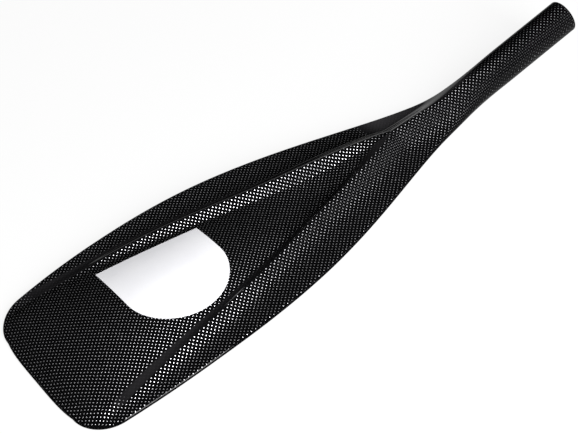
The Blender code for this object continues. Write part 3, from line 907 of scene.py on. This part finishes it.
@dataclass
class Skin:
    """One moulded half: the woven shell of a face with its half of the rim and neck.

    A painted sheen covers the wall of each ridge that faces +Y, down to its foot. At the
    throat it covers the whole flank beside the spine on that side. It is a flat grey that stands
    for reflection, and it hides the weave's dots where they lie in shade.
    """

    face: Face
    node: str
    name: str
    slot: str

    # Columns and rows of the grid
    panel_columns: int = 38
    crest_columns: int = 20
    flank_columns: int = 30
    rim_columns: int = 7
    blade_rows: int = 150
    neck_rows: int = 84
    lip_rows: int = 4
    knee_x: float = 0.345
    row_crowding: float = 1.25
    column_crowding: float = 24.0
    least_crowding: float = 0.1
    crest_reach: float = 0.0040
    nearest_crest: float = 0.0030
    crest_to_side: float = 0.0102

    # Steps of the sums
    halvings: int = 40
    chords: int = 64
    line_stations: int = 2000
    tolerance: float = 1e-9

    # Dull stretches, and the stretches of painted sheen
    rim_fade: float = 0.0016
    neck_dullness: float = 0.55
    sheen_edge: float = 0.0005
    sheen_start: Span = (0.020, 0.050)
    outer_sheen: Span = (0.0095, 0.0120)
    inner_sheen: Span = (0.0070, 0.0085)
    wall_sheen: float = 0.35
    throat_start: Span = (0.335, 0.360)
    throat_end: Span = (0.425, 0.450)
    throat_foot: Span = (0.0, 0.003)

    @property
    def rim_start(self) -> int:
        """Number of the column where the rim's rounding starts."""
        return self.panel_columns + self.crest_columns + self.flank_columns

    @property
    def columns(self) -> int:
        """Number of the outermost column."""
        return self.rim_start + self.rim_columns

    def ridge_line(self, x: Array) -> Array:
        """The line that columns follow: the ridge, kept off the rim and the middle."""
        outermost = FORM.side_width(x) - self.crest_to_side
        return np.clip(FORM.ridge_offset(x), self.nearest_crest, outermost)

    def crowd(self, start: Array, end: Array, t: Array) -> Array:
        """A point a share t of the way from start to end, crowded towards the start."""
        strength = self.least_crowding + self.column_crowding * np.abs(end - start)
        return start + (end - start) * np.expm1(strength * t) / np.expm1(strength)

    def offsets(self, x: Array, q: Array, inset: float) -> Array:
        """Distance off the middle line of column q at x.

        Columns crowd exponentially towards the ridge from both sides, cross its top
        evenly and turn round the rim by equal angles. In the neck they turn by equal
        angles round the tube.

        Args:
            x: Distance from the tip.
            q: Column number, 0 on the middle line.
            inset: Depth under the outer surface.

        Returns:
            Offsets of the shape of x.
        """
        width = FORM.side_width(x) - inset
        rim = FORM.half_rim - inset
        turns = np.clip((q - self.rim_start) / self.rim_columns, 0, 1) * math.pi / 2
        around = width - rim * (1 - np.sin(turns))
        if self.face is Face.POWER:
            swing = np.clip(q / self.rim_start, 0, 1) * math.pi / 2
            across = (width - rim) * np.sin(swing)
        else:
            ridge = self.ridge_line(x)
            reach = np.minimum(self.crest_reach, ridge / 3)
            t = np.clip(1 - q / self.panel_columns, 0, 1)
            panel = self.crowd(ridge - reach, 0.0, t)
            crest = (q - self.panel_columns) / self.crest_columns
            top = ridge - reach + (reach + self.crest_reach) * crest
            t = (q - self.panel_columns - self.crest_columns) / self.flank_columns
            flank = self.crowd(ridge + self.crest_reach, width - rim, np.clip(t, 0, 1))
            across = np.where(crest < 0, panel, np.where(crest > 1, flank, top))
        blade = np.where(turns > 0, around, across)
        tube = width * np.sin(q / self.columns * math.pi / 2)
        share = FORM.roundness(x)
        return (1 - share) * blade + share * tube

    def tip_stations(self, q: Array, inset: float) -> Array:
        """Where each column meets the tip's edge, found by halving an interval.

        Args:
            q: Column numbers.
            inset: Depth under the outer surface.

        Returns:
            Distance from the tip for each column.
        """
        start = FORM.tip_bow + inset
        first = self.offsets(np.full(q.shape, start), q, inset)
        low = np.full(q.shape, start)
        high = np.full(q.shape, FORM.tip_bow + FORM.tip_corner_radius)
        for _ in range(self.halvings):
            middle = (low + high) / 2
            width = FORM.outline_width(middle, inset)
            past = width >= self.offsets(middle, q, inset) - self.tolerance
            high = np.where(past, middle, high)
            low = np.where(past, low, middle)
        return np.where(first <= FORM.flat_tip_width(), FORM.tip_edge(first, inset), high)

    def half_grid(self, inset: float) -> HalfGrid:
        """Half of the surface, from the middle line to the rim.

        Rows turn round the tip's rim by equal angles, spread along the blade, stand
        evenly in the neck and turn by equal angles round the lip at its end.

        Args:
            inset: Depth under the outer surface.

        Returns:
            Distance from the tip, distance off the middle line, height, and that
            distance again less the rounding of the lip.
        """
        q = np.arange(self.columns + 1, dtype=float)
        turn = np.linspace(0, math.pi / 2, self.rim_columns + 1)
        rim = FORM.half_rim * (1 - np.cos(turn))
        rim_rows = self.tip_stations(q, inset) + rim[:, None]
        t = np.linspace(0, 1, self.blade_rows + 1)[1:] ** self.row_crowding
        blade_rows = rim_rows[-1] + (self.knee_x - rim_rows[-1]) * t[:, None]
        end = FORM.neck_end_x - FORM.edge_radius
        neck = np.linspace(self.knee_x, end, self.neck_rows + 1)[1:]
        lip = end + FORM.edge_radius * np.sin(np.linspace(0, math.pi / 2, self.lip_rows + 1)[1:])
        tail = np.append(neck, lip)[:, None]
        tail = np.broadcast_to(tail, (len(tail), len(q)))
        x = np.concatenate([rim_rows, blade_rows, tail])
        offset = self.offsets(x, q, inset)
        rounding = circle_drop(FORM.neck_end_x - x, FORM.edge_radius) if inset == 0 else 0.0
        height = FORM.height(x, offset, inset + rounding, self.face)
        return HalfGrid(x, offset, height, offset - rounding)

    def arc(self, x: Array, a: Array) -> Array:
        """Length across the surface from the middle line, summed over equal chords.

        Args:
            x: Distance from the tip.
            a: Distance off the middle line.

        Returns:
            Lengths, of the shape of x.
        """
        width = FORM.side_width(x)
        full = np.arcsin(np.clip(a / width, 0, 1))
        total = np.zeros_like(x)
        previous = np.stack([total, FORM.height(x, total, 0.0, self.face)])
        for share in np.linspace(0, 1, self.chords + 1)[1:]:
            b = width * np.sin(full * share)
            here = np.stack([b, FORM.height(x, b, 0.0, self.face)])
            total += np.hypot(*(here - previous))
            previous = here
        return total

    def points(self, half: HalfGrid) -> Array:
        """Points of the whole surface, from half of it."""
        up = half.height * self.face.value
        return both_sides(*(FORM.place(half.x, half.side * way, up) for way in (-1, 1)))

    def cloth(self, half: HalfGrid) -> Array:
        """Metres along and across the cloth, laid from the middle line outwards.

        Args:
            half: Half of the surface.

        Returns:
            A pair for each point of the whole surface.
        """
        stations = np.linspace(0, FORM.neck_end_x, self.line_stations)
        rise = FORM.line_rise(stations) - FORM.tip_curl(stations)
        lengths = np.concatenate([[0], np.cumsum(np.hypot(np.diff(stations), np.diff(rise)))])
        along = np.interp(half.x, stations, lengths)
        across = self.arc(half.x, half.offset)
        return both_sides(*(np.stack([along, across * way], axis=-1) for way in (-1, 1)))

    def dull_share(self, half: HalfGrid) -> Array:
        """Dullness: 1 on the rim's rounded edge, 0 on the faces, a part on the neck.

        Args:
            half: Half of the outer surface.

        Returns:
            A share for each point of the whole surface.
        """
        rim = 1 - ramp(FORM.rim_distance(half.x, half.offset, 0.0), 0.0, self.rim_fade)
        neck = FORM.roundness(half.x)
        dull = rim * (1 - neck) + self.neck_dullness * neck
        return both_sides(dull, dull)

    def painted_sheen_share(self, half: HalfGrid) -> Array:
        """Share of painted sheen over the weave: none, a little on walls, all at the throat.

        Args:
            half: Half of the outer surface.

        Returns:
            A share for each point of the whole surface.
        """
        x = half.x
        if self.face is Face.POWER:
            return both_sides(np.zeros_like(x), np.zeros_like(x))
        off_ridge = half.offset - FORM.ridge_offset(x)
        before_neck = 1 - ramp(x, *self.throat_end)
        left, right = (
            ramp(down, 0.0, self.sheen_edge) * (1 - ramp(down, *foot))
            * ramp(x, *self.sheen_start) * before_neck * self.wall_sheen
            for down, foot in ((off_ridge, self.outer_sheen), (-off_ridge, self.inner_sheen))
        )
        throat = ramp(x, *self.throat_start)
        flank = ramp(off_ridge, *self.throat_foot) * throat * before_neck
        return both_sides(right * (1 - throat), np.maximum(left, flank))

    def build(self, finish: WeaveFinish) -> None:
        """Build the skin and let it stand for its plain solid.

        Args:
            finish: The weave of its cloth.
        """
        half = self.half_grid(0.0)
        outer, inner = self.points(half), self.points(self.half_grid(FORM.skin))
        top, bottom = (outer, inner) if self.face is Face.BACK else (inner, outer)
        piece = shell(self.name, top, bottom, self.cloth(half), finish.material())
        # painted_sheen: painted reflection and painted shade on the walls that face +Y and the
        # throat's flank
        shares = {"dull": self.dull_share(half), "painted_sheen": self.painted_sheen_share(half)}
        for name, share in shares.items():
            layer = piece.data.attributes.new(name=name, type="FLOAT", domain="POINT")
            layer.data.foreach_set("value", np.tile(share.astype(np.float32).ravel(), 2))
        hand_over(piece, self.node)


@dataclass
class NeckSocket:
    """The round sleeve that lines the neck's bore."""

    radius: float = 0.0136
    wall: float = 0.0016
    chamfer: float = 0.0004
    sides: int = 96
    steps: int = 8
    grain_scale: float = 1300.0

    def build(self) -> None:
        """Build the sleeve: a chamfered profile turned round the neck's axis."""
        bore = self.radius - self.wall
        end, start, c = FORM.neck_end_x, FORM.sleeve_start_x, self.chamfer
        corners = np.array([
            (start, bore), (start, self.radius), (end - c, self.radius),
            (end, self.radius - c), (end, bore + c), (end - c, bore), (start, bore),
        ])
        pairs = zip(corners[:-1], corners[1:])
        profile = np.concatenate([np.linspace(p, q, self.steps + 1)[:-1] for p, q in pairs])
        turn = np.linspace(0, 2 * math.pi, self.sides + 1)[:-1]
        x = np.broadcast_to(profile[:, :1], (len(profile), self.sides))
        r = profile[:, 1:]
        points = FORM.place(x, r * np.cos(turn), r * np.sin(turn)).reshape(-1, 3)
        index = np.arange(len(points)).reshape(len(profile), self.sides)
        next_row = np.roll(index, -1, axis=0)
        quads = [index, np.roll(index, -1, axis=1), np.roll(next_row, -1, axis=1), next_row]
        faces = np.stack(quads, axis=-1).reshape(-1, 4)
        uv = np.stack(np.broadcast_arrays(x, r * turn), axis=-1).reshape(-1, 2)
        finish = LaminateFinish(name="sleeve_laminate", grain_scale=self.grain_scale)
        piece = make_piece("neck_sleeve_turned", points, faces, uv, finish.material())
        hand_over(piece, "neck_sleeve")


@dataclass
class Label:
    """The D-shaped foil on the middle panel, laid on the skin's smooth surface."""

    centre_x: float = 0.1304
    width: float = 0.0870
    round_y: float = -0.0001
    tip_gap: float = 0.0127
    neck_gap: float = 0.0138
    sag: float = 0.0008
    lift: float = 0.00012
    thickness: float = 0.0002
    stations: int = 81
    columns: int = 61

    def edges(self, x: Array) -> tuple[Array, Array]:
        """Both long edges: half a circle, and a line that sags beside the ridge.

        Args:
            x: Distance from the tip.

        Returns:
            Y of the low and of the high edge, each of the shape of x.
        """
        radius = self.width / 2
        start = FORM.ridge_offset(self.centre_x - radius) - self.tip_gap
        end = FORM.ridge_offset(self.centre_x + radius) - self.neck_gap
        t = np.clip((x - self.centre_x) / radius, -1, 1)
        high = start + (end - start) * (1 + t) / 2 - self.sag * (1 - t * t)
        return self.round_y - radius * np.sqrt(1 - t * t), high

    def build(self) -> None:
        """Build the foil, with stations at equal angles of its round edge."""
        turn = np.linspace(-math.pi / 2, math.pi / 2, self.stations)
        x = self.centre_x + self.width / 2 * np.sin(turn)
        low, high = self.edges(x)
        y = low[:, None] + (high - low)[:, None] * np.linspace(0, 1, self.columns)
        x = np.broadcast_to(x[:, None], y.shape)
        skin = FORM.height(x, np.abs(y), 0.0, Face.BACK)
        top = FORM.place(x, y, skin + self.lift + self.thickness)
        bottom = FORM.place(x, y, skin + self.lift)
        uv = np.stack([x, y], axis=-1)
        piece = shell("label_curved", top, bottom, uv, FoilFinish().material())
        hand_over(piece, "label")


@dataclass
class InnerWorks:
    """The hidden foam, spars, rim band and plug, which keep their plain solids."""

    foam: tuple[str, ...] = ("foam_centre", "foam_flank_left", "foam_flank_right")
    spars: tuple[str, ...] = ("ridge_spar_left", "ridge_spar_right", "spine_spar")
    spar_finish: LaminateFinish = LaminateFinish("spar_laminate", grain_scale=700.0)
    band_finish: LaminateFinish = LaminateFinish(
        "band_laminate", grain_scale=500.0, roughness=0.5
    )
    plug_finish: FoamFinish = FoamFinish(
        "plug_foam", colour=(0.5, 0.48, 0.42, 1.0), cell_scale=1000.0
    )

    def dress(self) -> None:
        """Give each solid its finish."""
        finishes = dict.fromkeys(self.foam, FoamFinish().material())
        finishes |= dict.fromkeys(self.spars, self.spar_finish.material())
        finishes |= {
            "rim_band": self.band_finish.material(), "neck_plug": self.plug_finish.material(),
        }
        for name, material in finishes.items():
            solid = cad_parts[name]
            solid.data.materials.clear()
            solid.data.materials.append(material)
            log.info("%s dressed", name)


@dataclass
class Stage:
    """Floor, surroundings, camera and light.

    The camera's X is measured from the blade's tip, and its turn is in degrees.
    """

    camera_place: tuple[float, float, float] = (-0.1583, -0.7279, 0.7813)
    camera_turn: tuple[float, float, float] = (46.4065, 8.5244, -36.7263)
    camera_near: float = 0.05
    focal_pixels: float = 1405.9
    image_width: int = 578
    sensor: float = 36.0
    lamp_place: tuple[float, float, float] = (-0.12, -1.84, 1.10)
    lamp_size: tuple[float, float] = (0.87, 1.45)
    lamp_power: float = 125.0
    surroundings: float = 0.005
    floor_half: float = 6.0
    floor_colour: Colour = (0.02, 0.02, 0.02, 1.0)
    seen_colour: Colour = (0.9, 0.9, 0.9, 1.0)
    floor_roughness: float = 0.9
    seen_glow: float = 0.88
    mirrored_share: float = 0.25

    def camera(self) -> None:
        """Set the camera at the photograph's place and viewing angle."""
        x, y, z = self.camera_place
        data = bpy.data.cameras.new("camera")
        data.sensor_width = self.sensor
        data.lens = self.focal_pixels * self.sensor / self.image_width
        data.clip_start = self.camera_near
        camera = bpy.data.objects.new("camera", data)
        camera.location = (x - FORM.overall_length / 2, y, z)
        camera.rotation_euler = [math.radians(angle) for angle in self.camera_turn]
        bpy.context.scene.collection.objects.link(camera)
        bpy.context.scene.camera = camera

    def lamp(self) -> None:
        """Hang one large soft lamp, turned to the middle of the floor."""
        data = bpy.data.lights.new("key_lamp", "AREA")
        data.shape = "RECTANGLE"
        data.size, data.size_y = self.lamp_size
        data.energy = self.lamp_power
        lamp = bpy.data.objects.new("key_lamp", data)
        lamp.location = self.lamp_place
        lamp.rotation_euler = (-Vector(self.lamp_place)).to_track_quat("-Z", "Y").to_euler()
        bpy.context.scene.collection.objects.link(lamp)

    def floor_material(self) -> bpy.types.Material:
        """A dark finish that the camera sees white, and a mirror as a part of white.

        Returns:
            The material, on which the object's shadow still shows.
        """
        shader = Shader("floor_pale")
        path = shader.node("ShaderNodeLightPath", {}, [])
        names = ("Is Camera Ray", "Is Glossy Ray", "Is Transmission Ray")
        camera, glossy, through = (
            Signal(shader, path.socket.node.outputs[name]) for name in names
        )
        mirrored = glossy.math("MAXIMUM", through)
        seen = camera.math("MAXIMUM", mirrored * self.mirrored_share)
        pale = shader.blend(seen, self.floor_colour, self.seen_colour)
        shader.set(Base_Color=pale, Roughness=self.floor_roughness)
        white = shader.node("ShaderNodeEmission", {}, {"Color": (1, 1, 1, 1), "Strength": 1.0})
        surface = Signal(shader, shader.surface.outputs[0])
        mixed = shader.node("ShaderNodeMixShader", {}, [seen * self.seen_glow, surface, white])
        shader.feed(shader.tree.nodes["Material Output"].inputs["Surface"], mixed)
        return shader.material

    def floor(self) -> None:
        """Lay a wide pale floor."""
        half = self.floor_half
        mesh = bpy.data.meshes.new("floor")
        corners = [(-half, -half, 0), (half, -half, 0), (half, half, 0), (-half, half, 0)]
        mesh.from_pydata(corners, [], [(0, 1, 2, 3)])
        mesh.materials.append(self.floor_material())
        floor = bpy.data.objects.new("floor", mesh)
        bpy.context.scene.collection.objects.link(floor)

    def world(self) -> None:
        """Fill the surroundings with a dim grey, white where the camera looks."""
        world = bpy.data.worlds.new("studio")
        bpy.context.scene.world = world
        world.use_nodes = True
        tree = world.node_tree
        ground = tree.nodes["Background"]
        ground.inputs["Color"].default_value = (1, 1, 1, 1)
        path = tree.nodes.new("ShaderNodeLightPath")
        seen = tree.nodes.new("ShaderNodeMapRange")
        seen.inputs["To Min"].default_value = self.surroundings
        seen.inputs["To Max"].default_value = 1.0
        tree.links.new(path.outputs["Is Camera Ray"], seen.inputs["Value"])
        tree.links.new(seen.outputs[0], ground.inputs["Strength"])

    def build(self) -> None:
        """Set up the whole stage."""
        self.floor()
        self.world()
        self.camera()
        self.lamp()
        bpy.context.scene.view_settings.view_transform = "Standard"


def main() -> None:
    """Build the blade on its stage."""
    logging.basicConfig(level=logging.INFO, format="%(message)s")
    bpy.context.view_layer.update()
    Skin(Face.BACK, "back_skin", "back_skin_woven", "carbon_back").build(WeaveFinish())
    power = Skin(
        Face.POWER, "power_skin", "power_skin_woven", "carbon_power",
        panel_columns=20, crest_columns=8, flank_columns=20,
    )
    power.build(WeaveFinish(name="carbon_weave_power_face"))
    NeckSocket().build()
    Label().build()
    InnerWorks().dress()
    Stage().build()


if __name__ == "__main__":
    main()
